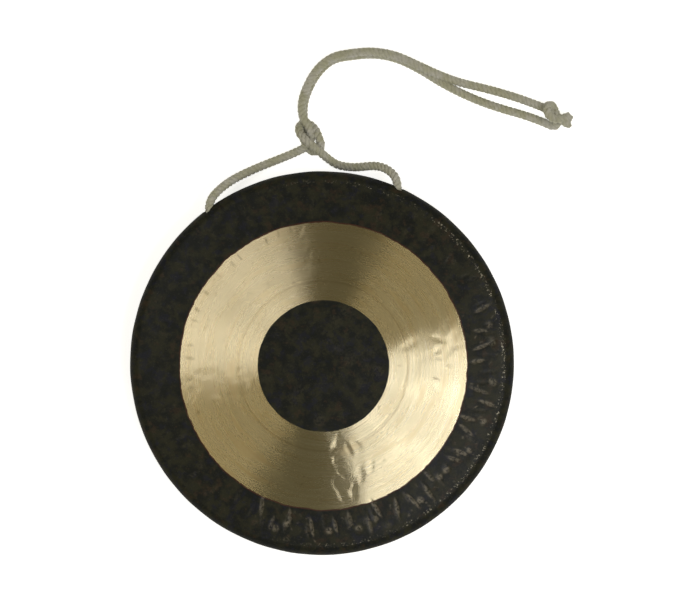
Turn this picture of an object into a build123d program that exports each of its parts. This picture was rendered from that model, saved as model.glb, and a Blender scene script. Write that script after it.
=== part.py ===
"""A tam tam gong lying face up on its back edge, with its hanging cord laid out beside it.

Frame: millimetres. +Z is the gong's axis and points out of the struck face. The origin is on
the axis, on the surface that the rim's back edge rests on. The hanging cord lies on that
surface, on the +Y side, and runs towards +X.
"""
from build123d import *
from math import asin, cos, degrees, pi, radians, sin, sqrt, tan
import os

os.makedirs("parts", exist_ok=True)

# ---------------------------------------------------------------- gong, driving dimensions
gong_diameter = 305.0            # over the shoulder, a 12 inch gong
sheet = 1.6                      # thickness of the hammered bronze
shoulder_radius = 8.0            # outside radius where the face turns back into the rim
face_edge_height = 30.0          # top of the face where the shoulder starts
crown = 6.0                      # how far the middle of the face stands above its edge
rim_lean = 9.3                   # degrees that the rim wall leans inwards to the back
wall_top = 18.0                  # where the shoulder's node meets the wall's, below the holes
centre_disc_radius = 52.0        # dark unscraped disc in the middle
lathed_band_radius = 113.5       # outside of the bright scraped band

hole_radius = 4.3                # the two cord holes in the rim
hole_height = 23.5               # just under the shoulder
left_hole_angle = 126.9          # degrees round from +X
right_hole_angle = 66.2

# ---------------------------------------------------------------- cord, driving dimensions
cord_diameter = 7.0              # twisted cord
cord_radius = cord_diameter / 2
exit_turn = 15.0                 # degrees that each exit leans from the radius to the other hole
pivot_radius = 157.0             # where the cord starts to bend freely, just outside the rim
swing_gap = 0.3                  # clearance between the fixed cord end and the swinging loop
arc_share = 0.45                 # part of the shorter run that each arc of a tube takes

main_knot_size = (24.0, 21.0, 18.0)
main_knot_place = (-9.0, 177.0)
end_knot_size = (19.0, 21.0, 15.0)
end_knot_place = (187.0, 198.0)
knot_edge = 6.5                  # rounding of the knots' plain solids

# ---------------------------------------------------------------- gong, worked out
outer_radius = gong_diameter / 2
shoulder_middle = outer_radius - shoulder_radius

# The face is a shallow dome that runs smoothly into the shoulder's arc.
dome_radius = (shoulder_middle ** 2 + crown ** 2) / (2 * crown)
crease_radius = shoulder_middle / (1 - shoulder_radius / dome_radius)
dome_slope = degrees(asin(crease_radius / dome_radius))
dome_centre_height = face_edge_height - sqrt(dome_radius ** 2 - crease_radius ** 2)
shoulder_height = face_edge_height - shoulder_radius * cos(radians(dome_slope))
shoulder_centre = (shoulder_middle, shoulder_height)


def face_point(radius, depth=0.0):
    """A point of the face at a radius, or one straight below it through the sheet."""
    rise = sqrt(dome_radius ** 2 - radius ** 2)
    shrink = (dome_radius - depth) / dome_radius
    return (radius * shrink, dome_centre_height + rise * shrink)


def face_zone_profile(inner, outer):
    """Half section of one zone of the face, from an inner to an outer radius."""
    middle = (inner + outer) / 2
    with BuildLine() as outline:
        ThreePointArc(face_point(inner), face_point(middle), face_point(outer))
        Line(face_point(outer), face_point(outer, sheet))
        ThreePointArc(face_point(outer, sheet), face_point(middle, sheet), face_point(inner, sheet))
        Line(face_point(inner, sheet), face_point(inner))
    return outline.line


def around(radius, angle, height):
    """A point at a radius, an angle round from +X in degrees, and a height."""
    return Vector(radius * cos(radians(angle)), radius * sin(radians(angle)), height)


# ---------------------------------------------------------------- gong, its five zones
with BuildPart() as gong_centre:
    with BuildSketch(Plane.XZ):
        make_face(face_zone_profile(0.0, centre_disc_radius).edges())
    revolve(axis=Axis.Z)

with BuildPart() as gong_lathed_band:
    with BuildSketch(Plane.XZ):
        make_face(face_zone_profile(centre_disc_radius, lathed_band_radius).edges())
    revolve(axis=Axis.Z)

with BuildPart() as gong_dark_band:
    with BuildSketch(Plane.XZ):
        make_face(face_zone_profile(lathed_band_radius, crease_radius).edges())
    revolve(axis=Axis.Z)

# Past the crease the sheet turns back through the shoulder, which holds the two cord holes, and
# becomes the rim wall, which leans inwards down to its flat back edge.
shoulder_turn = 90 - dome_slope + rim_lean
wall_fall = tan(radians(rim_lean))


def down_wall(top, height):
    """The point of the leaning wall at a height, below a point at its top."""
    return (top.X - (top.Y - height) * wall_fall, height)


with BuildPart() as gong_shoulder:
    with BuildSketch(Plane.XZ):
        with BuildLine():
            outside = CenterArc(shoulder_centre, shoulder_radius, -rim_lean, shoulder_turn)
            inside = CenterArc(shoulder_centre, shoulder_radius - sheet, -rim_lean, shoulder_turn)
            Line(outside @ 1, inside @ 1)
            joint_outside = down_wall(outside @ 0, wall_top)
            joint_inside = down_wall(inside @ 0, wall_top)
            Line(outside @ 0, joint_outside)
            Line(joint_outside, joint_inside)
            Line(joint_inside, inside @ 0)
        make_face()
    revolve(axis=Axis.Z)
    for hole_angle in (left_hole_angle, right_hole_angle):
        inward_start = around(shoulder_middle - 4, hole_angle, hole_height)
        outward = around(1, hole_angle, 0)
        with BuildSketch(Plane(origin=inward_start, z_dir=outward)):
            Circle(hole_radius)
        extrude(amount=16, mode=Mode.SUBTRACT)

back_outside = down_wall(outside @ 0, 0)
back_inside = down_wall(inside @ 0, 0)
with BuildPart() as gong_rim:
    with BuildSketch(Plane.XZ):
        with BuildLine():
            Polyline(joint_outside, back_outside, back_inside, joint_inside, close=True)
        make_face()
    revolve(axis=Axis.Z)

# ---------------------------------------------------------------- cord, its ends at the rim
# Each end of the inner span comes through its hole and stops in a round end. The loop outside
# swings on the line through the two round ends.
wall_radius = outer_radius - 1.0


def exit_line(hole_angle, turn):
    """Where the cord crosses the wall, the way it leaves, and the end of its fixed part."""
    crossing = around(wall_radius, hole_angle, hole_height)
    way = around(1, hole_angle + turn, 0)
    along = crossing.dot(way)
    flat_square = crossing.X ** 2 + crossing.Y ** 2
    reach = -along + sqrt(along ** 2 + pivot_radius ** 2 - flat_square)
    return crossing, way, crossing + way * reach


left_crossing, left_way, left_pivot = exit_line(left_hole_angle, -exit_turn)
right_crossing, right_way, right_pivot = exit_line(right_hole_angle, exit_turn)


def swing_start(pivot, toward):
    """The start of the swinging cord, clear of the fixed round end whatever its angle."""
    way = (Vector(*toward) - pivot).normalized()
    return pivot + way * (cord_radius + swing_gap)


# ---------------------------------------------------------------- cord, its routes
# Points of the cord's middle line. The surface is at height 0, so a cord lying on it runs
# just over one radius above it.
inner_route = [
    left_pivot,
    left_crossing - left_way * 9,
    (-77.0, 103.5, 22.0),
    (-63.0, 97.5, 18.0),
    (-46.0, 96.0, 12.0),
    (-24.0, 97.5, 6.0),
    (1.5, 100.0, 3.7),
    (23.0, 103.5, 6.0),
    (39.5, 108.5, 12.0),
    (52.0, 118.0, 18.5),
    right_crossing - right_way * 9,
    right_pivot,
]

# The left end drops from its hole to the surface, goes through the main knot, climbs onto the
# other strand, comes down beside it and ends in a short tail past the end knot.
left_points = [
    (-89.5, 137.0, 21.0),
    (-80.0, 146.0, 15.0),
    (-66.0, 151.5, 8.5),
    (-49.5, 157.0, 4.2),
    (-34.0, 162.5, 3.7),
    (-20.5, 169.5, 6.5),
    (-12.5, 180.5, 11.5),
    (-15.5, 194.5, 12.6),
    (-15.5, 209.0, 10.9),
    (-9.0, 225.0, 10.8),
    (1.5, 238.5, 10.8),
    (16.5, 244.5, 10.8),
    (37.0, 247.0, 10.8),
    (58.0, 244.5, 10.8),
    (76.5, 236.0, 10.6),
    (92.0, 229.5, 6.6),
    (110.0, 223.5, 3.9),
    (132.0, 217.5, 3.6),
    (154.0, 211.0, 3.6),
    (171.0, 206.0, 5.0),
    (184.0, 200.5, 8.6),
    (190.5, 189.5, 5.0),
]
left_route = [swing_start(left_pivot, left_points[0])] + left_points

# The right end turns back sharply outside its hole, goes through the main knot under the left
# end, lies on the surface under the other strand and ends in the other tail.
right_points = [
    (58.5, 152.5, 21.0),
    (50.0, 158.0, 16.0),
    (38.0, 157.5, 10.0),
    (25.0, 156.5, 5.0),
    (13.0, 158.5, 3.7),
    (2.0, 164.5, 3.7),
    (-8.0, 172.5, 4.2),
    (-14.5, 183.0, 4.2),
    (-16.5, 196.0, 3.6),
    (-15.0, 209.5, 3.6),
    (-9.0, 225.0, 3.6),
    (1.5, 238.5, 3.6),
    (16.5, 244.5, 3.6),
    (37.0, 247.0, 3.6),
    (58.0, 244.5, 3.6),
    (77.5, 234.5, 3.6),
    (97.0, 220.0, 3.6),
    (118.0, 208.5, 3.6),
    (141.0, 201.0, 3.6),
    (163.0, 196.0, 3.6),
    (180.0, 194.0, 3.8),
    (197.0, 194.5, 3.8),
]
right_route = [swing_start(right_pivot, right_points[0])] + right_points


def corner_radii(name, route):
    """Radius of the arc at each corner of a route, as large as its two runs allow."""
    points = [Vector(*point) for point in route]
    runs = [after - before for before, after in zip(points, points[1:])]
    radii = []
    for before, after in zip(runs, runs[1:]):
        turn = radians(before.get_angle(after))
        radii.append(arc_share * min(before.length, after.length) / tan(turn / 2))
    print(name, "radii", [round(radius) for radius in radii], "smallest", round(min(radii), 1))
    return radii


def compare_volume(name, tube, path):
    """Print the tube's volume beside its section times its length."""
    section = pi * cord_radius ** 2
    length = sum(edge.length for edge in path.edges())
    print(name, "length", round(length, 1), "volume", round(tube.part.volume),
          "section times length", round(section * length))


# ---------------------------------------------------------------- cord, its pieces
with BuildPart() as cord_inner_span:
    with BuildLine() as inner_path:
        FilletPolyline(*inner_route, radius=corner_radii("cord_inner_span", inner_route))
    with BuildSketch(Plane(origin=inner_path.line @ 0, z_dir=inner_path.line % 0)):
        Circle(cord_radius)
    sweep()
    with Locations(left_pivot, right_pivot):
        Sphere(cord_radius)
compare_volume("cord_inner_span", cord_inner_span, inner_path)

with BuildPart() as cord_left:
    with BuildLine() as left_path:
        FilletPolyline(*left_route, radius=corner_radii("cord_left", left_route))
    with BuildSketch(Plane(origin=left_path.line @ 0, z_dir=left_path.line % 0)):
        Circle(cord_radius)
    sweep()
compare_volume("cord_left", cord_left, left_path)

with BuildPart() as cord_right:
    with BuildLine() as right_path:
        FilletPolyline(*right_route, radius=corner_radii("cord_right", right_route))
    with BuildSketch(Plane(origin=right_path.line @ 0, z_dir=right_path.line % 0)):
        Circle(cord_radius)
    sweep()
compare_volume("cord_right", cord_right, right_path)

# The knots' own solids are plain: the outer shape of each, resting on the surface.
with BuildPart() as main_knot:
    with Locations((*main_knot_place, main_knot_size[2] / 2)):
        Box(*main_knot_size)
    fillet(main_knot.edges(), radius=knot_edge)

with BuildPart() as end_knot:
    with Locations((*end_knot_place, end_knot_size[2] / 2)):
        Box(*end_knot_size)
    fillet(end_knot.edges(), radius=knot_edge)

# ---------------------------------------------------------------- written pieces
pieces = {
    "gong_centre": gong_centre,
    "gong_lathed_band": gong_lathed_band,
    "gong_dark_band": gong_dark_band,
    "gong_shoulder": gong_shoulder,
    "gong_rim": gong_rim,
    "cord_inner_span": cord_inner_span,
    "cord_left": cord_left,
    "cord_right": cord_right,
    "main_knot": main_knot,
    "end_knot": end_knot,
}
for name, piece in pieces.items():
    piece.part.label = name
    export_step(piece.part, f"parts/{name}.step")

swing_axis = (right_pivot - left_pivot).normalized()
print("left pivot", left_pivot, "right pivot", right_pivot, "swing axis", swing_axis)
print("back edge radii", back_inside, back_outside, "crease radius", crease_radius)
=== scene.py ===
# %% [markdown]
# A tam tam gong with its hanging cord
#
# This lesson builds the looks of a small bronze gong around its measured frame. The gong is
# one hammered sheet with a scraped, lathe-turned band between two dark zones. The cord is one
# length of twisted cord: it crosses behind the rim, comes out of two holes and is knotted
# twice. The frame holds the sizes of the zones and the line that the cord swings about, in
# metres. The sizes of the zones are read from it.

# %% Load the frame
import math
import random

import bmesh
import bpy
import numpy as np
from mathutils import Matrix, Vector, noise


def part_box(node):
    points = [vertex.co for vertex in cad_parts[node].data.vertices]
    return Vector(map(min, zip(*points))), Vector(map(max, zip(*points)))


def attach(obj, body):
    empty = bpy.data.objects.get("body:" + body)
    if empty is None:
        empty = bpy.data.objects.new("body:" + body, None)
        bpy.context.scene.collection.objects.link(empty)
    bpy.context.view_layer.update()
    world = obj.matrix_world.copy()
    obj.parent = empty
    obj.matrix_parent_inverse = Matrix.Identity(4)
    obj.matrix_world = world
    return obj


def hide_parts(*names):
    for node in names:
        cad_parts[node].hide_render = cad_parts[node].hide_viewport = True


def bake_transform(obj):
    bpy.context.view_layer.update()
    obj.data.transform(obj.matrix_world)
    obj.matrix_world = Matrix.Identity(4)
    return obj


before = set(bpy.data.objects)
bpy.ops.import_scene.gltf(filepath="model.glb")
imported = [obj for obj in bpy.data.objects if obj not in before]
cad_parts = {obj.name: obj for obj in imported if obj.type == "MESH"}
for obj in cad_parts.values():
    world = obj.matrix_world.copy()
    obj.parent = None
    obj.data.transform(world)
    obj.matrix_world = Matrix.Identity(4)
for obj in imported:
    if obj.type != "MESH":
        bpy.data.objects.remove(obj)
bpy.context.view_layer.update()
MM = 0.001

# %% [markdown]
# The camera looks straight down on the gong, as a catalogue picture does. A long lens from far
# away keeps the cord on the floor and the face above it at nearly the same scale.

# %% Camera
CAMERA_ABOVE_SHOULDER = 2.6
SHOULDER_HEIGHT = 22 * MM
LOOKS_AT = (0.0222, 0.0493)
FIELD_WIDTH = 0.5558
SENSOR_WIDTH = 36.0
camera_data = bpy.data.cameras.new("camera")
camera_data.sensor_width = SENSOR_WIDTH
camera_data.lens = SENSOR_WIDTH * CAMERA_ABOVE_SHOULDER / FIELD_WIDTH
camera = bpy.data.objects.new("camera", camera_data)
camera.location = (*LOOKS_AT, CAMERA_ABOVE_SHOULDER + SHOULDER_HEIGHT)
bpy.context.collection.objects.link(camera)
bpy.context.scene.camera = camera
print("lens", round(camera_data.lens, 1))

# %% [markdown]
# The cord's route comes next. A route is a short list of points, and a NURBS spline of order
# 3 draws one smooth line through their neighbourhood. The order and the end rule are set after
# the points are added, because before that the spline has too few of them.

# %% A smooth line from a few route points
SPLINE_STEPS = 24
SPLINE_ORDER = 3


def smooth_line(points):
    """Closely spaced points along the NURBS spline that a route's points control."""
    curve = bpy.data.curves.new("route", "CURVE")
    curve.dimensions = "3D"
    curve.resolution_u = SPLINE_STEPS
    spline = curve.splines.new("NURBS")
    spline.points.add(len(points) - 1)
    for control, place in zip(spline.points, points):
        control.co = (*place, 1.0)
    spline.order_u = SPLINE_ORDER
    spline.use_endpoint_u = True
    carrier = bpy.data.objects.new("route", curve)
    mesh = bpy.data.meshes.new_from_object(carrier)
    line = np.array([vertex.co for vertex in mesh.vertices])
    bpy.data.meshes.remove(mesh)
    bpy.data.objects.remove(carrier)
    bpy.data.curves.remove(curve)
    return line


# %% The same line in even steps
def evenly(line, step):
    """The same line with points a fixed step apart, and its length."""
    runs = np.linalg.norm(np.diff(line, axis=0), axis=1)
    along = np.concatenate([[0.0], np.cumsum(runs)])
    places = np.linspace(0.0, along[-1], max(2, round(along[-1] / step) + 1))
    columns = [np.interp(places, along, line[:, axis]) for axis in range(3)]
    return np.stack(columns, axis=1), along[-1]


# %% [markdown]
# The cord turns about two pivots just outside the rim, one at each hole. Between them the
# inner span lies loose in the gong's hollow. The two outer ends meet in the main knot. Past it
# one lies on top of the other, and they part on the way to the end knot. A simulation would
# have to tie the knots first, so every stretch is laid from listed points instead.

# %% Routes of the cord, in metres
LEFT_PIVOT = (-0.09308, 0.12643, 0.0235)
RIGHT_PIVOT = (0.06201, 0.14424, 0.0235)

LEFT_MOUTH = (-0.0895, 0.1218, 0.0235)
RIGHT_MOUTH = (0.0599, 0.1388, 0.0235)

inner_route = [
    LEFT_MOUTH,
    (-0.0872, 0.1125, 0.0235),
    (-0.0770, 0.1035, 0.0220),
    (-0.0630, 0.0975, 0.0180),
    (-0.0460, 0.0960, 0.0120),
    (-0.0240, 0.0975, 0.0060),
    (0.0015, 0.1000, 0.0038),
    (0.0230, 0.1035, 0.0060),
    (0.0395, 0.1085, 0.0120),
    (0.0520, 0.1170, 0.0185),
    (0.0592, 0.1285, 0.0235),
    RIGHT_MOUTH,
]

left_route = [
    LEFT_MOUTH,
    (-0.0896, 0.1286, 0.0233),
    (-0.0816, 0.1382, 0.0200),
    (-0.0700, 0.1470, 0.0118),
    (-0.0520, 0.1558, 0.0045),
    (-0.0350, 0.1625, 0.0038),
    (-0.0225, 0.1675, 0.0050),
    (-0.0130, 0.1720, 0.0085),
    (-0.0080, 0.1795, 0.0100),
    (-0.0100, 0.1880, 0.0105),
    (-0.0160, 0.1960, 0.0108),
    (-0.0165, 0.2080, 0.0108),
    (-0.0120, 0.2212, 0.0108),
    (-0.0042, 0.2345, 0.0108),
    (0.0082, 0.2445, 0.0108),
    (0.0240, 0.2472, 0.0108),
    (0.0400, 0.2486, 0.0108),
    (0.0580, 0.2457, 0.0108),
    (0.0765, 0.2373, 0.0106),
    (0.0920, 0.2302, 0.0075),
    (0.1100, 0.2238, 0.0040),
    (0.1320, 0.2188, 0.0038),
    (0.1540, 0.2125, 0.0038),
    (0.1690, 0.2070, 0.0045),
    (0.1790, 0.2030, 0.0068),
    (0.1865, 0.1980, 0.0090),
    (0.1915, 0.1925, 0.0078),
    (0.1972, 0.1912, 0.0055),
]

right_route = [
    RIGHT_MOUTH,
    (0.0598, 0.1466, 0.0230),
    (0.0520, 0.1545, 0.0180),
    (0.0420, 0.1576, 0.0115),
    (0.0265, 0.1558, 0.0050),
    (0.0125, 0.1575, 0.0040),
    (0.0038, 0.1635, 0.0060),
    (-0.0040, 0.1700, 0.0125),
    (-0.0115, 0.1760, 0.0165),
    (-0.0180, 0.1825, 0.0130),
    (-0.0185, 0.1895, 0.0060),
    (-0.0125, 0.1925, 0.0040),
    (-0.0055, 0.1870, 0.0080),
    (-0.0028, 0.1800, 0.0115),
    (-0.0002, 0.1720, 0.0085),
    (-0.0065, 0.1675, 0.0042),
    (-0.0135, 0.1730, 0.0038),
    (-0.0150, 0.1830, 0.0038),
    (-0.0150, 0.1960, 0.0038),
    (-0.0148, 0.2080, 0.0038),
    (-0.0103, 0.2205, 0.0038),
    (-0.0028, 0.2332, 0.0038),
    (0.0090, 0.2430, 0.0038),
    (0.0240, 0.2452, 0.0038),
    (0.0400, 0.2468, 0.0038),
    (0.0580, 0.2441, 0.0038),
    (0.0765, 0.2355, 0.0038),
    (0.0975, 0.2222, 0.0038),
    (0.1200, 0.2112, 0.0038),
    (0.1410, 0.2036, 0.0038),
    (0.1630, 0.1975, 0.0038),
    (0.1775, 0.1920, 0.0038),
    (0.1855, 0.1882, 0.0040),
    (0.1895, 0.1925, 0.0042),
    (0.1862, 0.2005, 0.0042),
    (0.1834, 0.2062, 0.0085),
    (0.1786, 0.2045, 0.0135),
    (0.1800, 0.1975, 0.0138),
    (0.1855, 0.1935, 0.0128),
    (0.1920, 0.1950, 0.0090),
    (0.1976, 0.1962, 0.0065),
]
print("points of the routes", len(inner_route), len(left_route), len(right_route))

# %% [markdown]
# A twisted cord is three strands wound round each other, and each strand is a bundle of yarns.
# A plain tube with a striped texture looks flat from close up, so every strand is its own
# tube: a poly curve that winds round the smooth line, with a lobed profile for its yarns. The
# tilt of each point turns the profile, which twists the yarns the other way, as in real cord.

# %% Sizes of the cord
CORD_DIAMETER = 7 * MM
STRANDS = 3
STRAND_RADIUS = CORD_DIAMETER / 2 * 0.54
STRAND_OFFSET = CORD_DIAMETER / 2 * 0.47
TWIST_PITCH = 11 * MM
YARNS = 6
YARN_DEPTH = 0.09
YARN_PITCH = 9 * MM
PROFILE_POINTS = 18
CORD_STEP = 0.7 * MM
WELD_DISTANCE = 1e-6
print("strand radius in mm", round(STRAND_RADIUS / MM, 2))


# %% The lobed profile of one strand
def strand_profile():
    """A closed curve with one lobe for each yarn."""
    curve = bpy.data.curves.new("strand_profile", "CURVE")
    spline = curve.splines.new("POLY")
    spline.points.add(PROFILE_POINTS - 1)
    for index, point in enumerate(spline.points):
        turn = 2 * math.pi * index / PROFILE_POINTS
        reach = STRAND_RADIUS * (1 + YARN_DEPTH * math.cos(YARNS * turn))
        point.co = (reach * math.cos(turn), reach * math.sin(turn), 0.0, 1.0)
    spline.use_cyclic_u = True
    return bpy.data.objects.new("strand_profile", curve)


# %% Frames that travel along a line without turning about it
def travelling_frames(line):
    """The directions to the side and upwards at each point of a line."""
    tangents = np.gradient(line, axis=0)
    tangents /= np.linalg.norm(tangents, axis=1)[:, None]
    side = np.cross(tangents[0], (0.0, 0.0, 1.0))
    sides = []
    for tangent in tangents:
        side = side - tangent * (side @ tangent)
        side = side / np.linalg.norm(side)
        sides.append(side)
    sides = np.array(sides)
    return sides, np.cross(sides, tangents)


# %% One strand of a cord
def strand_mesh(profile, places, tilts, radii):
    """The closed tube of one strand, from the points of its winding path."""
    curve = bpy.data.curves.new("strand", "CURVE")
    curve.dimensions = "3D"
    curve.bevel_mode = "OBJECT"
    curve.bevel_object = profile
    curve.use_fill_caps = True
    spline = curve.splines.new("POLY")
    spline.points.add(len(places) - 1)
    for point, place, tilt, radius in zip(spline.points, places, tilts, radii):
        point.co = (*place, 1.0)
        point.tilt = tilt
        point.radius = radius
    carrier = bpy.data.objects.new("strand", curve)
    bpy.context.collection.objects.link(carrier)
    seen = carrier.evaluated_get(bpy.context.evaluated_depsgraph_get())
    mesh = bpy.data.meshes.new_from_object(seen)
    bpy.data.objects.remove(carrier)
    bpy.data.curves.remove(curve)
    return mesh


# %% A twisted cord along a line
def twisted_cord(name, route, swell=((0.0, 1.0),)):
    """Three strands wound along a route. swell lists (share of length, radius factor)."""
    line, length = evenly(smooth_line(route), CORD_STEP)
    sides, uppers = travelling_frames(line)
    along = np.linspace(0.0, length, len(line))
    tilts = 2 * math.pi * along / YARN_PITCH
    factors = np.interp(along / length, *zip(*swell))
    profile = strand_profile()
    bpy.context.collection.objects.link(profile)
    whole = bmesh.new()
    for strand in range(STRANDS):
        turn = -2 * math.pi * (along / TWIST_PITCH + strand / STRANDS)
        outward = sides * np.cos(turn)[:, None] + uppers * np.sin(turn)[:, None]
        places = line + outward * (STRAND_OFFSET * factors)[:, None]
        mesh = strand_mesh(profile, places, tilts, factors)
        whole.from_mesh(mesh)
        bpy.data.meshes.remove(mesh)
    bpy.data.curves.remove(profile.data)
    bmesh.ops.remove_doubles(whole, verts=whole.verts, dist=WELD_DISTANCE)
    bmesh.ops.recalc_face_normals(whole, faces=whole.faces)
    for face in whole.faces:
        face.smooth = True
    mesh = bpy.data.meshes.new(name)
    whole.to_mesh(mesh)
    whole.free()
    piece = bpy.data.objects.new(name, mesh)
    bpy.context.collection.objects.link(piece)
    print(name, "length", round(length, 4), "faces", len(mesh.polygons))
    return piece, line, length


# %% [markdown]
# The inner span is the same thickness throughout. The other two end in a cut tail past the end
# knot, where a twisted cord springs open, so their last few millimetres flare a little.

# %% Make the three stretches of cord
END_FLARE = ((0.988, 1.0), (1.0, 1.22))
inner_span, inner_line, inner_length = twisted_cord("inner_span", inner_route)
left_cord, left_line, left_length = twisted_cord("left_cord", left_route, END_FLARE)
right_cord, right_line, right_length = twisted_cord("right_cord", right_route, END_FLARE)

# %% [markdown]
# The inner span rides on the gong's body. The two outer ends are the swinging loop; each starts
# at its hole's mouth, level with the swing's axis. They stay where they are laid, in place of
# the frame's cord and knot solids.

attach(inner_span, "gong")
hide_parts("cord_inner_span")

for piece, line, length, pivot, nodes in (
    (left_cord, left_line, left_length, LEFT_PIVOT, ("cord_left", "main_knot")),
    (right_cord, right_line, right_length, RIGHT_PIVOT, ("cord_right", "end_knot")),
):
    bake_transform(piece)
    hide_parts(*nodes)

# %% [markdown]
# The gong's shape follows its section. The frame gives the radii where its zones meet and the
# heights of the face, and a section swept round the axis gives each zone as a closed shell of
# the sheet's thickness. Zones stay apart, so that each can be as finely divided as its marks
# need: the turned band needs close rings, and the hammered band needs close spokes.

# %% Sizes read from the frame
centre_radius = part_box("gong_centre")[1][0]
band_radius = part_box("gong_lathed_band")[1][0]
crease_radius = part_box("gong_dark_band")[1][0]
outer_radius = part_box("gong_shoulder")[1][0]
top_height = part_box("gong_centre")[1][2]
crease_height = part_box("gong_shoulder")[1][2]
wall_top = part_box("gong_rim")[1][2]
SHEET = 1.6 * MM
SHOULDER_RADIUS = 8 * MM
RIM_LEAN = math.radians(9.3)
crown = top_height - crease_height
dome_radius = (crease_radius ** 2 + crown ** 2) / (2 * crown)
print("radii", [round(r, 4) for r in (centre_radius, band_radius, crease_radius, outer_radius)])


# %% Points of the section
def face_point(radius, depth):
    """A point of the face's section at a radius, or one below it, square to the face."""
    rise = math.sqrt(dome_radius ** 2 - radius ** 2)
    shrink = (dome_radius - depth) / dome_radius
    return Vector((radius * shrink, 0.0, top_height - dome_radius + rise * shrink))


def face_points(inner, outer, step, depth):
    """Points of the face's section about a step apart."""
    count = max(1, round((outer - inner) / step))
    return [face_point(inner + (outer - inner) * i / count, depth) for i in range(count + 1)]


# %% [markdown]
# A section could be turned by a Screw modifier. A bmesh spin is used instead, because the
# zones are dented afterwards, and a dent needs real vertices.

# %% Sweep a section round the axis
SHARP_TURN = math.radians(50)
DOUBLINGS = 4


def swept(name, section, spokes, closed=True):
    """A closed shell from a section's points, swept round the gong's axis.

    A long spin is slow, so a sixteenth is spun, and four doublings complete the circle.
    """
    shell = bmesh.new()
    corners = [shell.verts.new(point) for point in section]
    pairs = list(zip(corners, corners[1:]))
    if closed:
        pairs.append((corners[-1], corners[0]))
    edges = [shell.edges.new(pair) for pair in pairs]
    first_turn = 2 * math.pi / 2 ** DOUBLINGS
    bmesh.ops.spin(shell, geom=corners + edges, cent=(0, 0, 0), axis=(0, 0, 1),
                   angle=first_turn, steps=spokes // 2 ** DOUBLINGS)
    for doubling in range(DOUBLINGS):
        turn = Matrix.Rotation(first_turn * 2 ** doubling, 3, "Z")
        copy = bmesh.ops.duplicate(shell, geom=shell.verts[:] + shell.edges[:] + shell.faces[:])
        moved = [part for part in copy["geom"] if isinstance(part, bmesh.types.BMVert)]
        bmesh.ops.rotate(shell, verts=moved, cent=(0, 0, 0), matrix=turn)
    bmesh.ops.remove_doubles(shell, verts=shell.verts, dist=WELD_DISTANCE)
    bmesh.ops.recalc_face_normals(shell, faces=shell.faces)
    for face in shell.faces:
        face.smooth = True
    for edge in shell.edges:
        edge.smooth = edge.calc_face_angle(0.0) < SHARP_TURN
    mesh = bpy.data.meshes.new(name)
    shell.to_mesh(mesh)
    shell.free()
    piece = bpy.data.objects.new(name, mesh)
    bpy.context.collection.objects.link(piece)
    print(name, "faces", len(mesh.polygons))
    return piece


# %% One zone of the face
UNDER_STEP = 6 * MM


def face_zone(name, inner, outer, step, spokes):
    """One zone of the face, finer on its struck side than on its back."""
    upper = face_points(inner, outer, step, 0.0)
    lower = face_points(inner, outer, UNDER_STEP, SHEET)[::-1]
    return swept(name, upper + lower, spokes, closed=inner > 0)


# %% [markdown]
# A hammered gong is nowhere quite round or flat. Waves of a few tenths of a millimetre bend
# the reflections, and the hammer leaves dents: long ones that point to the middle, and round
# ones near the crease. A bump in the finish would not show from the side, so the dents are
# pressed into the mesh. All of them move the whole sheet, so the back shows them too.

# %% Dents
RUBBED_AT = 0.85
RUBBED_WIDTH = 0.25
FILLED_TO = 0.9


class Dent:
    """A dent with its place on the face, its length along the radius and its width.

    worn says how much of its scale has been knocked off, or left behind by the scraper, and
    edge how much of that lies along its outline, not in its middle. On the side beaten hardest,
    towards the key lights, the paler knocked-off part is partly painted highlight.
    """

    def __init__(self, angle, radius, length, width, depth, slant, worn, edge):
        self.x = radius * MM * math.cos(angle)
        self.y = radius * MM * math.sin(angle)
        self.way = angle + slant
        self.length = length * MM
        self.width = width * MM
        self.depth = depth * MM
        self.worn = worn
        self.edge = edge

    def reach(self, x, y):
        """0 in the middle of the dent and 1 at its edge, at each place."""
        away_x, away_y = x - self.x, y - self.y
        along = away_x * math.cos(self.way) + away_y * math.sin(self.way)
        across = away_y * math.cos(self.way) - away_x * math.sin(self.way)
        return np.hypot(along / self.length, across / self.width) * 2

    def fall(self, x, y):
        """How far the sheet is pressed down."""
        return self.depth * np.exp(-self.reach(x, y) ** 3)

    def mark(self, x, y):
        """How strongly the dent shows in the finish, at each place."""
        reach = self.reach(x, y)
        edge = np.exp(-((reach - RUBBED_AT) / RUBBED_WIDTH) ** 2)
        middle = np.exp(-(reach / FILLED_TO) ** 4)
        return self.worn * (self.edge * edge + (1 - self.edge) * middle)


# %% [markdown]
# Dents are struck in runs. Each run gives its number of blows, then the least and the most
# radius, length, width and depth in millimetres, the slant in radians and the wear. A seeded
# hammer draws the rest by chance, so that the gong comes out the same each time.

# %% Runs of dents
HARDEST_AND_LIT = math.radians(-45)
LEAST_FORCE = 0.2
hammer = random.Random(12)
dents = []


def knocked(angle):
    """The face was beaten hardest on its lower right side: 1 there, and 0 opposite. That side
    faces the key lights, so the paler colour of its marks is partly painted highlight.
    """
    return (0.5 + 0.5 * math.cos(angle - HARDEST_AND_LIT)) ** 1.5


def strike(count, radii, lengths, widths, depths, slant, worn, first=0.0, last=2 * math.pi,
           even=True, beaten_side=True, edge=0.4):
    """Adds a run of dents, spaced evenly with some error or wholly by chance."""
    for blow in range(count):
        share = (blow + hammer.uniform(0.1, 0.9)) / count if even else hammer.random()
        angle = first + (last - first) * share
        force = LEAST_FORCE + (1 - LEAST_FORCE) * knocked(angle) if beaten_side else 1.0
        dents.append(Dent(angle, hammer.uniform(*radii), hammer.uniform(*lengths),
                          hammer.uniform(*widths), hammer.uniform(*depths) * force,
                          hammer.uniform(-slant, slant), hammer.uniform(*worn) * force, edge))


def sector(first, last):
    """Two angles in degrees, anticlockwise from the gong's right, as radians."""
    return math.radians(first), math.radians(last)


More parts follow.
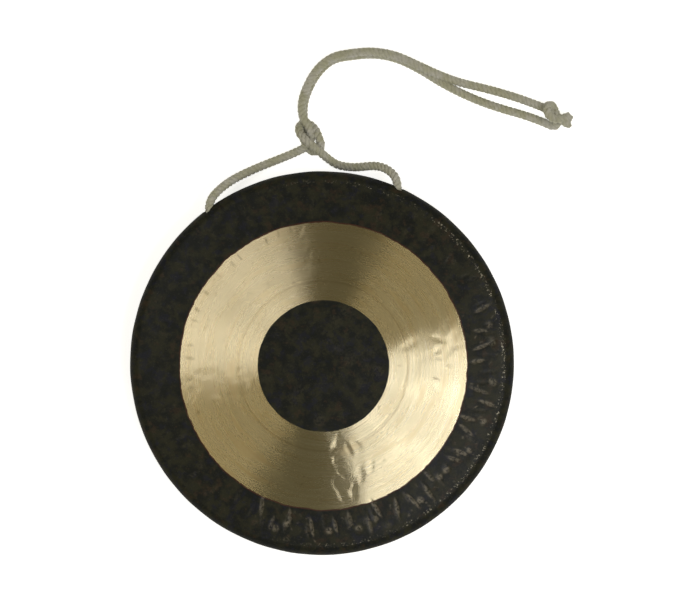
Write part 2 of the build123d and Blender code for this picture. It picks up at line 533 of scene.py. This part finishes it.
# %% Marks of the dark band
LOWER_RIGHT = sector(-115, 20)
strike(60, (122, 137), (8, 13), (2.4, 3.4), (0.10, 0.24), 0.3, (0.0, 0.25))
strike(22, (122, 135), (10, 15), (2.6, 3.4), (0.22, 0.36), 0.3, (0.6, 1.0), *LOWER_RIGHT)
strike(13, (128, 137), (5, 6.4), (5, 6.4), (0.20, 0.34), 0.5, (0.6, 1.0), *LOWER_RIGHT,
       edge=0.0)
strike(26, (124, 140), (5, 7), (5, 7), (0.08, 0.20), 0.5, (0.0, 0.2), edge=0.0)
strike(70, (118, 143), (1.5, 5), (0.9, 2.0), (0.02, 0.06), 1.2, (0.1, 0.6), *LOWER_RIGHT,
       even=False, edge=0.0)
print("dents of the dark band", len(dents))

# %% Marks under the scraper
UPPER_LEFT = sector(98, 205)
RIGHT_EDGE = sector(-10, 6)
strike(14, (104.5, 108.5), (6, 9), (1.7, 2.5), (0.02, 0.05), 0.2, (0.4, 0.9), *UPPER_LEFT,
       beaten_side=False, edge=0.0)
strike(9, (74, 98), (3, 6), (1.4, 2.6), (0.01, 0.03), 0.5, (0.15, 0.5), *UPPER_LEFT,
       even=False, beaten_side=False, edge=0.0)
strike(3, (86, 100), (5, 8), (1.4, 2.0), (0.01, 0.03), 0.2, (0.5, 0.9), *RIGHT_EDGE,
       beaten_side=False, edge=0.0)
print("dents with those under the scraper", len(dents))

# %% Ripples of the bright band and of the centre
LOWER_TURN = sector(-84, -62)
UPPER_TURN = sector(96, 116)
RIGHT_TURN = sector(0, 15)
LEFT_TURN = sector(183, 200)
strike(60, (60, 106), (12, 22), (6, 12), (0.02, 0.06), 0.7, (0, 0), even=False,
       beaten_side=False)
strike(18, (62, 107), (7, 13), (3, 5.5), (0.05, 0.13), 0.8, (0, 0), *LOWER_TURN, even=False,
       beaten_side=False)
strike(7, (66, 107), (7, 13), (3, 5.5), (0.04, 0.10), 0.6, (0, 0), *UPPER_TURN, even=False,
       beaten_side=False)
strike(30, (8, 48), (8, 15), (7, 12), (0.02, 0.08), 1.0, (0, 0.15), even=False, edge=0.1)
strike(8, (64, 108), (8, 15), (4, 7), (0.05, 0.11), 0.9, (0, 0), *RIGHT_TURN, even=False,
       beaten_side=False)
strike(12, (62, 109), (8, 15), (4, 7), (0.08, 0.17), 0.9, (0, 0), *LEFT_TURN, even=False,
       beaten_side=False)
print("all dents", len(dents))

# %% Waves of the sheet
WAVE_LENGTH = 26 * MM
WAVE_HEIGHT = 0.26 * MM
BROAD_LENGTH = 90 * MM
BROAD_HEIGHT = 0.45 * MM
FLAT_FROM = 140 * MM


def sheet_shift(x, y):
    """How far the sheet stands above its true dome, and how strongly its dents show."""
    shift = np.zeros(len(x))
    for index, (a, b) in enumerate(zip(x, y)):
        near = noise.noise(Vector((a, b, 0.0)) / WAVE_LENGTH)
        far = noise.noise(Vector((a, b, 1.0)) / BROAD_LENGTH)
        shift[index] = WAVE_HEIGHT * near + BROAD_HEIGHT * far
    marks = np.zeros(len(x))
    for dent in dents:
        close = np.hypot(x - dent.x, y - dent.y) < dent.length
        shift[close] -= dent.fall(x[close], y[close])
        marks[close] = np.maximum(marks[close], dent.mark(x[close], y[close]))
    fade = np.clip((crease_radius - np.hypot(x, y)) / (crease_radius - FLAT_FROM), 0, 1)
    return shift * fade * fade * (3 - 2 * fade), marks


# %% Press them in
def press(piece, rings=None):
    """Presses the waves, the dents and any turned rings into a zone of the face."""
    mesh = piece.data
    places = np.empty(len(mesh.vertices) * 3)
    mesh.vertices.foreach_get("co", places)
    places = places.reshape(-1, 3)
    x, y, z = places.T
    radius = np.hypot(x, y)
    dome = top_height - dome_radius + np.sqrt(dome_radius ** 2 - radius ** 2)
    shift, marks = sheet_shift(x, y)
    if rings is not None:
        shift += np.where(dome - z < SHEET / 2, rings(radius), 0.0)
    places[:, 2] += shift
    mesh.vertices.foreach_set("co", places.ravel())
    mesh.attributes.new("marks", "FLOAT", "POINT").data.foreach_set("value", marks)
    mesh.update()


# %% [markdown]
# The turned rings are uneven in depth, as a hand-held scraper leaves them. One deeper groove
# runs round the band near its inner edge.

# %% Turned rings
RING_STEP = 0.45 * MM
RING_DEPTH = 0.003 * MM
GROOVE_RADIUS = 67 * MM
GROOVE_WIDTH = 0.6 * MM
GROOVE_DEPTH = 0.045 * MM
RING_FADE = 2 * MM
scraper = np.random.default_rng(5)
ring_radii = np.arange(centre_radius, band_radius, RING_STEP)
ring_heights = scraper.normal(0.0, RING_DEPTH, len(ring_radii))


def turned_rings(radius):
    """Height of the turning marks at each radius."""
    marks = np.interp(radius, ring_radii, ring_heights)
    groove = GROOVE_DEPTH * np.exp(-((radius - GROOVE_RADIUS) / GROOVE_WIDTH) ** 2)
    edge = np.minimum(radius - centre_radius, band_radius - radius)
    return (marks - groove) * np.clip(edge / RING_FADE, 0, 1)


print("turned rings", len(ring_radii))

# %% [markdown]
# Each zone gets the spacing of rings and the number of spokes that its smallest mark needs. A
# spoke count is a multiple of sixteen, for the sixteenth that is spun.

# %% The three zones of the face
CENTRE_STEP = 1.1 * MM
CENTRE_SPOKES = 368
BAND_SPOKES = 544
HAMMERED_STEP = 0.9 * MM
HAMMERED_SPOKES = 1088
centre_disc = face_zone("centre_disc", 0.0, centre_radius, CENTRE_STEP, CENTRE_SPOKES)
press(centre_disc)
lathed_band = face_zone("lathed_band", centre_radius, band_radius, RING_STEP, BAND_SPOKES)
press(lathed_band, turned_rings)
hammered_band = face_zone("hammered_band", band_radius, crease_radius, HAMMERED_STEP,
                          HAMMERED_SPOKES)
press(hammered_band)

# %% [markdown]
# The shoulder is an arc that continues the dome, and the rim wall continues the arc. A rim is
# beaten over a former, so it keeps flat facets that are too shallow to see in its outline.

# %% Section of the shoulder and the wall
shoulder_slope = math.asin(crease_radius / dome_radius)
shoulder_middle = Vector((outer_radius - SHOULDER_RADIUS, 0.0,
                          crease_height - SHOULDER_RADIUS * math.cos(shoulder_slope)))
print("slope at the crease in degrees", round(math.degrees(shoulder_slope), 1))


def shoulder_points(radius, count):
    """Points of the shoulder's arc, from the crease to the wall."""
    first, last = math.pi / 2 - shoulder_slope, -RIM_LEAN
    turns = [first + (last - first) * i / count for i in range(count + 1)]
    return [shoulder_middle + radius * Vector((math.cos(t), 0.0, math.sin(t))) for t in turns]


def down_wall(top, height):
    """The point of the leaning wall at a height."""
    return Vector((top.x - (top.z - height) * math.tan(RIM_LEAN), 0.0, height))


# %% Facets of the beaten rim
FACET_WIDTH = 17 * MM
FACET_STRETCH = 0.6
FACET_DEPTH = 0.22 * MM
FACET_FADE = 6 * MM


def beaten(piece):
    """Presses shallow facets into a shell, along the radius."""
    for vertex in piece.data.vertices:
        place = vertex.co
        fade = min(1.0, max(0.0, (crease_height - place.z) / FACET_FADE))
        facet = noise.noise(Vector((place.x, place.y, place.z * FACET_STRETCH)) / FACET_WIDTH)
        outward = Vector((place.x, place.y, 0.0)).normalized()
        vertex.co = place + outward * (facet * FACET_DEPTH * fade - FACET_DEPTH * 0.5 * fade)
    piece.data.update()


# %% Shoulder and rim
OUTER_ARC_STEPS = 20
INNER_ARC_STEPS = 14
SHOULDER_SPOKES = 720
WALL_STEPS = 9
WALL_SPOKES = 544
outer_arc = shoulder_points(SHOULDER_RADIUS, OUTER_ARC_STEPS)
inner_arc = shoulder_points(SHOULDER_RADIUS - SHEET, INNER_ARC_STEPS)
section = outer_arc + [down_wall(outer_arc[-1], wall_top)]
section += [down_wall(inner_arc[-1], wall_top)] + inner_arc[::-1]
shoulder = swept("shoulder", section, SHOULDER_SPOKES)

wall_levels = [wall_top * (1 - i / WALL_STEPS) for i in range(WALL_STEPS + 1)]
outside_wall = [down_wall(outer_arc[-1], level) for level in wall_levels]
inside_wall = [down_wall(inner_arc[-1], level) for level in wall_levels]
rim_wall = swept("rim_wall", outside_wall + inside_wall[::-1], WALL_SPOKES)
beaten(shoulder)
beaten(rim_wall)

# %% [markdown]
# A swept section is the same all the way round, so each cord hole is drilled afterwards, by a
# boolean. A drill is a cylinder that points away from the axis and passes through the shoulder.

# %% Cut the cord holes
HOLE_RADIUS = 4.3 * MM
HOLE_HEIGHT = 23.5 * MM
HOLE_ANGLES = (math.radians(126.9), math.radians(66.2))
DRILL_LENGTH = 24 * MM
DRILL_REACH = 150 * MM
DRILL_SIDES = 48


def cut(piece, cutter):
    """Takes a closed cutter out of a piece, for good."""
    bpy.context.collection.objects.link(cutter)
    modifier = piece.modifiers.new("hole", "BOOLEAN")
    modifier.operation = "DIFFERENCE"
    modifier.solver = "EXACT"
    modifier.object = cutter
    seen = piece.evaluated_get(bpy.context.evaluated_depsgraph_get())
    mesh = bpy.data.meshes.new_from_object(seen)
    piece.modifiers.clear()
    piece.data = mesh
    bpy.data.objects.remove(cutter)


for hole_angle in HOLE_ANGLES:
    away = Vector((math.cos(hole_angle), math.sin(hole_angle), 0.0))
    drill = bmesh.new()
    bmesh.ops.create_cone(drill, cap_ends=True, segments=DRILL_SIDES, radius1=HOLE_RADIUS,
                          radius2=HOLE_RADIUS, depth=DRILL_LENGTH)
    bmesh.ops.rotate(drill, verts=drill.verts, cent=(0, 0, 0),
                     matrix=away.to_track_quat("Z", "Y").to_matrix())
    bmesh.ops.translate(drill, verts=drill.verts,
                        vec=away * DRILL_REACH + Vector((0.0, 0.0, HOLE_HEIGHT)))
    drill_mesh = bpy.data.meshes.new("drill")
    drill.to_mesh(drill_mesh)
    drill.free()
    cut(shoulder, bpy.data.objects.new("drill", drill_mesh))
print("shoulder with holes, faces", len(shoulder.data.polygons))

# %% [markdown]
# Every zone rides on the gong's body, and is shown in place of its own solid of the frame.

# %% Ride and replace
for piece, node, finish in (
    (centre_disc, "gong_centre", "dark_patina"),
    (lathed_band, "gong_lathed_band", "lathed_bronze"),
    (hammered_band, "gong_dark_band", "dark_patina"),
    (shoulder, "gong_shoulder", "dark_patina"),
    (rim_wall, "gong_rim", "dark_patina"),
):
    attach(piece, "gong")
    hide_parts(node)
    print(piece.name, "replaces", node)

# %% [markdown]
# Materials are sums of socket values. One small class wraps a socket, so that masks and waves
# are written as Python expressions, and each expression adds its Math nodes to the tree. Any
# other node comes from one method, which takes its type, its settings and its sockets.

# %% Sockets that add up
class Value:
    """An output socket that can be added, subtracted and multiplied, as a number can."""

    def __init__(self, graph, socket):
        self.graph = graph
        self.socket = socket

    def math(self, operation, *others):
        """Any other operation of a Math node."""
        return self.graph.node("Math", {"operation": operation}, self, *others)

    def __add__(self, other):
        return self.math("ADD", other)

    def __radd__(self, other):
        return self.math("ADD", other)

    def __sub__(self, other):
        return self.math("SUBTRACT", other)

    def __rsub__(self, other):
        return self.graph.node("Math", {"operation": "SUBTRACT"}, other, self)

    def __mul__(self, other):
        return self.math("MULTIPLY", other)

    def __rmul__(self, other):
        return self.math("MULTIPLY", other)


class Graph:
    """The node tree of one material, written top down."""

    def __init__(self, name):
        self.material = bpy.data.materials.new(name)
        self.material.use_nodes = True
        self.tree = self.material.node_tree
        self.tree.nodes.clear()

    def node(self, kind, settings, *inputs, out=0, **named):
        """Adds a node, sets it, and fills its sockets in order or by name."""
        node = self.tree.nodes.new("ShaderNode" + kind)
        for setting, value in settings.items():
            setattr(node, setting, value)
        filled = list(enumerate(inputs))
        filled += [(name.replace("_", " "), value) for name, value in named.items()]
        for place, value in filled:
            if isinstance(value, Value):
                self.tree.links.new(value.socket, node.inputs[place])
            else:
                node.inputs[place].default_value = value
        return Value(self, node.outputs[out])

    def noise(self, vector, scale, detail, roughness):
        """Soft patches by chance, from 0 to 1, that get smaller as the scale grows."""
        return self.node("TexNoise", {}, Vector=vector, Scale=scale, Detail=detail,
                         Roughness=roughness)

    def step(self, value, low, high):
        """0 below low, 1 above high, and a smooth rise between them."""
        return self.node("MapRange", {"interpolation_type": "SMOOTHSTEP"}, value, low, high)

    def mix(self, factor, first, second):
        """A colour between two others."""
        node = self.tree.nodes.new("ShaderNodeMix")
        node.data_type = "RGBA"
        for place, value in ((0, factor), (6, first), (7, second)):
            if isinstance(value, Value):
                self.tree.links.new(value.socket, node.inputs[place])
            else:
                node.inputs[place].default_value = value
        return Value(self, node.outputs[2])

    def bump(self, height, distance, strength):
        """A normal for a surface that seems to rise by the distance where height is 1."""
        return self.node("Bump", {}, Strength=strength, Distance=distance, Height=height)

    def finish(self, shader):
        """Sends a shader to the output, and gives the material."""
        output = self.tree.nodes.new("ShaderNodeOutputMaterial")
        self.tree.links.new(shader.socket, output.inputs[0])
        print(self.material.name, "nodes", len(self.tree.nodes))
        return self.material


def colour(red, green, blue):
    """An opaque colour from three linear values."""
    return (red, green, blue, 1.0)


# %% [markdown]
# One material serves the whole gong, because on the real sheet the two finishes meet inside a
# zone's edge: the scraper wanders, so the bright band's outline is uneven. The band's masks are
# worked out from the distance to its own middle, which lies a little off the rim's.

# %% Where the pattern lies
PATTERN_MIDDLE = (1.2 * MM, -2.1 * MM, 0.0)
NOT_STRUCK_BELOW = -1.2 * MM
STRUCK_ABOVE = -0.9 * MM
graph = Graph("gong_bronze")
place = graph.node("TexCoord", {}, out=3)
centred = graph.node("VectorMath", {"operation": "SUBTRACT"}, place, PATTERN_MIDDLE)
flat = graph.node("VectorMath", {"operation": "MULTIPLY"}, centred, (1.0, 1.0, 0.0))
radius = graph.node("VectorMath", {"operation": "LENGTH"}, flat, out=1)
direction = graph.node("VectorMath", {"operation": "NORMALIZE"}, flat)
parts = graph.tree.nodes.new("ShaderNodeSeparateXYZ")
graph.tree.links.new(direction.socket, parts.inputs[0])
east, north = Value(graph, parts.outputs[0]), Value(graph, parts.outputs[1])
from_axis = graph.node("VectorMath", {"operation": "MULTIPLY"}, place, (1.0, 1.0, 0.0))
rim_distance = graph.node("VectorMath", {"operation": "LENGTH"}, from_axis, out=1)
height = graph.node("SeparateXYZ", {}, place, out=2)
face_height = top_height - rim_distance * rim_distance * (0.5 / dome_radius)
struck_side = graph.step(height - face_height, NOT_STRUCK_BELOW, STRUCK_ABOVE)

# %% Masks of the scraped band
OUTER_WANDER = 2.6 * MM
OUTER_TREMBLE = 0.7 * MM
INNER_WANDER = 1.0 * MM
EDGE_BLUR = 0.25 * MM
wander = (graph.noise(place, 75.0, 3.0, 0.55) - 0.5) * OUTER_WANDER
tremble = (graph.noise(place, 240.0, 2.0, 0.5) - 0.5) * OUTER_TREMBLE
scraped_at = radius + wander + tremble
inner_at = radius + (graph.noise(place, 60.0, 2.0, 0.5) - 0.5) * INNER_WANDER
past_inner = graph.step(inner_at, centre_radius - EDGE_BLUR, centre_radius + EDGE_BLUR)
past_outer = graph.step(scraped_at, band_radius - EDGE_BLUR, band_radius + EDGE_BLUR)
scraped = past_inner * (1 - past_outer) * struck_side
print("nodes with the masks", len(graph.tree.nodes))

# %% [markdown]
# The scraped bronze is pale gold. Its roughness is much larger across the turning marks than
# along them, which is what anisotropy says: the highlight of a soft box then spreads into a
# sector with clear sides. Some of the dents under the scraper kept their dark scale.

# %% Patterns of the turning
GROOVE_STAIN = 1.1 * MM
GROOVE_FLOOR = 0.2 * MM


def turned_place(across, around):
    """A place for noise that changes fast along the radius and slowly round the axis."""
    return graph.node("CombineXYZ", {}, radius * across, east * around, north * around)


marks = graph.node("Attribute", {"attribute_name": "marks"}, out=2)
fine_rings = graph.noise(turned_place(1150.0, 1.6), 1.0, 3.0, 0.65)
wide_rings = graph.noise(turned_place(190.0, 0.9), 1.0, 2.0, 0.5)
tarnish = graph.step(graph.noise(turned_place(150.0, 2.2), 1.0, 4.0, 0.6), 0.44, 0.74)
scratches = graph.noise(turned_place(620.0, 3.0), 1.0, 1.0, 0.5)
spots = graph.step(graph.noise(place, 160.0, 3.0, 0.6), 0.66, 0.76)
groove = graph.step((radius - GROOVE_RADIUS).math("ABSOLUTE"), GROOVE_STAIN, GROOVE_FLOOR)
print("nodes with the turning", len(graph.tree.nodes))

# %% Scraped bronze
DEEP_GOLD = colour(0.64, 0.53, 0.31)
PALE_GOLD = colour(0.92, 0.84, 0.64)
EVEN_GOLD = colour(0.80, 0.70, 0.46)
TARNISHED_GOLD = colour(0.56, 0.40, 0.18)
SHADED_SIDE_GOLD = colour(0.70, 0.55, 0.30)
SPOT_BROWN = colour(0.33, 0.23, 0.10)
GROOVE_BROWN = colour(0.45, 0.33, 0.16)
KEPT_SCALE = colour(0.20, 0.15, 0.07)
SCRATCH_DEPTH = 0.05 * MM
gold = graph.mix(fine_rings, DEEP_GOLD, PALE_GOLD)
gold = graph.mix(wide_rings * 0.5, gold, EVEN_GOLD)
gold = graph.mix(tarnish * 0.4, gold, TARNISHED_GOLD)
# Painted shade: the upper left of the band, which sees only the weaker fill lights, is painted a
# darker, warmer gold.
gold = graph.mix(graph.step(north - east, -0.2, 1.3) * 0.4, gold, SHADED_SIDE_GOLD)
gold = graph.mix(spots * 0.4, gold, SPOT_BROWN)
gold = graph.mix(groove * 0.3, gold, GROOVE_BROWN)
gold = graph.mix(marks * 0.65, gold, KEPT_SCALE)
bronze = graph.node("BsdfPrincipled", {}, Base_Color=gold, Metallic=1.0,
                    Roughness=0.24 + fine_rings * 0.05 + tarnish * 0.03,
                    Normal=graph.bump(scratches, SCRATCH_DEPTH, 0.5),
                    Anisotropic=1.0, Anisotropic_Rotation=0.25)
print("nodes with the scraped bronze", len(graph.tree.nodes))

# %% [markdown]
# The dark zones keep the black scale from the fire. It is never one black: patches turn blue,
# olive and brown, small scuffs show greyer, and a red-brown line is left where the scraper
# stopped. The hammer has rubbed the edges of its marks, and those marks are painted paler the
# more they face the key lights on the lower right, so their paleness is partly painted
# highlight. The crease is the part that gets knocked, so bare metal shows there, but its specks
# are painted only on the right side, towards the key lights, as partly painted glints.

# %% Patches of the fire scale
GREEN_BLACK = colour(0.0052, 0.0066, 0.0048)
OLIVE_BLACK = colour(0.018, 0.018, 0.008)
BURNT_BROWN = colour(0.034, 0.020, 0.010)
NAVY_BLACK = colour(0.008, 0.009, 0.020)
SCUFF_GREY = colour(0.080, 0.075, 0.050)
broad_patches = graph.noise(place, 34.0, 3.0, 0.55)
patches = graph.noise(place, 120.0, 4.0, 0.6)
warm_or_cold = graph.noise(centred, 150.0, 3.0, 0.6) + broad_patches * 0.6
specks = graph.noise(place, 800.0, 3.0, 0.7)
scale_colour = graph.mix(graph.step(patches, 0.40, 0.62), GREEN_BLACK, OLIVE_BLACK)
scale_colour = graph.mix(graph.step(warm_or_cold, 0.86, 1.00) * 0.55, scale_colour, BURNT_BROWN)
scale_colour = graph.mix(graph.step(warm_or_cold, 0.76, 0.62) * 0.6, scale_colour, NAVY_BLACK)
scale_colour = graph.mix(graph.step(specks, 0.55, 0.75) * 0.3, scale_colour, SCUFF_GREY)
print("nodes with the patches", len(graph.tree.nodes))

# %% Lines, and rubbed marks and crease specks partly painted as highlights
RED_BROWN = colour(0.075, 0.022, 0.012)
RUBBED_METAL_AND_HIGHLIGHT = colour(0.27, 0.235, 0.18)
BARE_METAL_GLINT = colour(0.50, 0.46, 0.36)
RED_OUTSIDE_BAND = 0.5 * MM
RED_REACH = 0.8 * MM
SPECKS_INSIDE_CREASE = 1.0 * MM
SPECK_REACH = 2.6 * MM
LINE_CORE = 0.1 * MM
red_from = (scraped_at - (band_radius + RED_OUTSIDE_BAND)).math("ABSOLUTE")
red_line = graph.step(red_from, RED_REACH, LINE_CORE) * struck_side
scale_colour = graph.mix(red_line * 0.7, scale_colour, RED_BROWN)
# Paler metal in the hammer marks, strongest on the lower right: partly wear, partly painted
# highlight from the key lights.
rubbed_and_lit = marks * graph.step(graph.noise(place, 480.0, 3.0, 0.65), 0.30, 0.62)
scale_colour = graph.mix(rubbed_and_lit * 0.85, scale_colour, RUBBED_METAL_AND_HIGHLIGHT)
# Bare metal specks along the crease: wear, but kept to the right side, towards the key lights,
# so partly painted glints.
crease_from = (rim_distance - crease_radius + SPECKS_INSIDE_CREASE).math("ABSOLUTE")
worn_and_glint_line = graph.step(crease_from, SPECK_REACH, LINE_CORE) * struck_side
worn = worn_and_glint_line * graph.step(graph.noise(place, 650.0, 3.0, 0.7), 0.58, 0.67)
# Painted glint: the specks show only on the right side, which faces the key lights.
worn = worn * graph.step(east, -0.5, 0.8)
scale_colour = graph.mix(worn * 0.9, scale_colour, BARE_METAL_GLINT)
print("nodes with the worn marks", len(graph.tree.nodes))

# %% Fire scale
SCALE_RELIEF = 0.10 * MM
past_crease = graph.step(rim_distance, crease_radius - 1.5 * MM, crease_radius + 2 * MM)
fire_scale = graph.node("BsdfPrincipled", {}, Base_Color=scale_colour, Metallic=worn * 0.8,
                        Roughness=0.34 + patches * 0.12 + past_crease * 0.35,
                        Normal=graph.bump(specks + patches * 2.0, SCALE_RELIEF, 0.5),
                        Specular_IOR_Level=0.2)

# %% [markdown]
# A Mix Shader joins the two finishes. Its factor is the mask of the scraped band.

# %% Both finishes on one sheet
gong_bronze = graph.finish(graph.node("MixShader", {}, scraped, fire_scale, bronze))
for piece in (centre_disc, lathed_band, hammered_band, shoulder, rim_wall):
    piece.data.materials.clear()
    piece.data.materials.append(gong_bronze)

# %% [markdown]
# The cord is undyed yarn that has gone grey with handling, with green and brown shades. It is
# matt, and its fibres catch the light as a soft sheen.

# %% Yarn of the cord
UNDYED_YARN = colour(0.385, 0.38, 0.26)
GREY_YARN = colour(0.48, 0.47, 0.425)
GRIMY_YARN = colour(0.235, 0.235, 0.14)
PALE_FIBRE = colour(0.52, 0.51, 0.43)
FIBRE_RELIEF = 0.25 * MM
graph = Graph("twisted_cord")
place = graph.node("TexCoord", {}, out=3)
fibres = graph.noise(place, 1900.0, 4.0, 0.7)
shade = graph.noise(place, 95.0, 3.0, 0.6)
grime = graph.noise(place, 320.0, 3.0, 0.6)
yarn = graph.mix(graph.step(shade, 0.35, 0.65), UNDYED_YARN, GREY_YARN)
yarn = graph.mix(graph.step(grime, 0.48, 0.75) * 0.6, yarn, GRIMY_YARN)
yarn = graph.mix(fibres * 0.5, yarn, PALE_FIBRE)
cord_material = graph.finish(
    graph.node("BsdfPrincipled", {}, Base_Color=yarn, Roughness=0.82 + fibres * 0.12,
               Normal=graph.bump(fibres, FIBRE_RELIEF, 0.8), Sheen_Weight=0.25,
               Sheen_Roughness=0.5, Specular_IOR_Level=0.25))
for piece in (inner_span, left_cord, right_cord):
    piece.data.materials.clear()
    piece.data.materials.append(cord_material)

# %% [markdown]
# The floor is plain and pale. It glows, so that it stays white in the dim room, except under
# the gong: a glow there would shine out through the cord holes.

# %% Floor
FLOOR_RADIUS = 12.0
FLOOR_SIDES = 96
FLOOR_DROP = 0.4 * MM
FLOOR_GLOW = 0.72
GLOW_MARGIN = 8 * MM
BLACK = colour(0.0, 0.0, 0.0)
WHITE = colour(1.0, 1.0, 1.0)
graph = Graph("pale_floor")
from_axis = graph.node("VectorMath", {"operation": "LENGTH"},
                       graph.node("TexCoord", {}, out=3), out=1)
outside = graph.step(from_axis, outer_radius - GLOW_MARGIN, outer_radius)
glow = graph.mix(outside, BLACK, WHITE)
floor_material = graph.finish(
    graph.node("BsdfPrincipled", {}, Base_Color=colour(0.9, 0.9, 0.9), Roughness=0.8,
               Emission_Color=glow, Emission_Strength=FLOOR_GLOW))
floor_mesh = bmesh.new()
bmesh.ops.create_circle(floor_mesh, cap_ends=True, segments=FLOOR_SIDES, radius=FLOOR_RADIUS)
bmesh.ops.translate(floor_mesh, verts=floor_mesh.verts, vec=(0, 0, -FLOOR_DROP))
floor_data = bpy.data.meshes.new("floor")
floor_mesh.to_mesh(floor_data)
floor_mesh.free()
floor = bpy.data.objects.new("floor", floor_data)
bpy.context.collection.objects.link(floor)
floor_data.materials.append(floor_material)

# %% [markdown]
# The light is that of a studio: three soft boxes stand in an arc on the lower right, three
# weaker ones across from them, and the room is dim. On concentric turning marks an arc of light
# makes a bright sector with clear sides, so the two arcs draw the bow-tie across the scraped
# band. Two larger boxes, warmer in colour, fill the sectors between them.

# %% A soft box
def soft_box(name, azimuth, elevation, distance, size, watts, tint=(1.0, 1.0, 1.0)):
    """A rectangular area light that looks at the origin from an azimuth and an elevation."""
    light = bpy.data.lights.new(name, "AREA")
    light.shape = "RECTANGLE"
    light.size, light.size_y = size
    light.energy = watts
    light.color = tint
    holder = bpy.data.objects.new(name, light)
    turn, rise = math.radians(azimuth), math.radians(elevation)
    way = Vector((math.cos(turn) * math.cos(rise), math.sin(turn) * math.cos(rise),
                  math.sin(rise)))
    holder.location = way * distance
    holder.rotation_euler = way.to_track_quat("Z", "Y").to_euler()
    bpy.context.collection.objects.link(holder)
    print(name, "azimuth", azimuth, "watts", watts)


# %% Lights
ARC_ELEVATION = 59
ARC_DISTANCE = 2.2
ARC_BOX = (0.54, 0.85)
for name, azimuth, watts in (
    ("key_low", -59.5, 6.0), ("key_middle", -33.0, 6.3), ("key_high", -6.5, 6.5),
    ("fill_high", 118.5, 1.9), ("fill_middle", 145.0, 2.2), ("fill_low", 173.5, 3.2),
):
    soft_box(name, azimuth, ARC_ELEVATION, ARC_DISTANCE, ARC_BOX, watts)

SIDE_ELEVATION = 50
SIDE_DISTANCE = 2.4
SIDE_BOX = (1.6, 0.8)
WARM_LIGHT = (1.0, 0.86, 0.56)
for name, azimuth, watts in (("window", 214, 6.6), ("lamp", 35, 5.2)):
    soft_box(name, azimuth, SIDE_ELEVATION, SIDE_DISTANCE, SIDE_BOX, watts, WARM_LIGHT)

# %% The dim room
ROOM_COLOUR = colour(1.0, 0.92, 0.60)
ROOM_STRENGTH = 0.115
world = bpy.data.worlds.new("studio")
world.use_nodes = True
background = world.node_tree.nodes["Background"]
background.inputs["Color"].default_value = ROOM_COLOUR
background.inputs["Strength"].default_value = ROOM_STRENGTH
bpy.context.scene.world = world
bpy.context.scene.view_settings.view_transform = "Standard"
print("room", ROOM_STRENGTH)
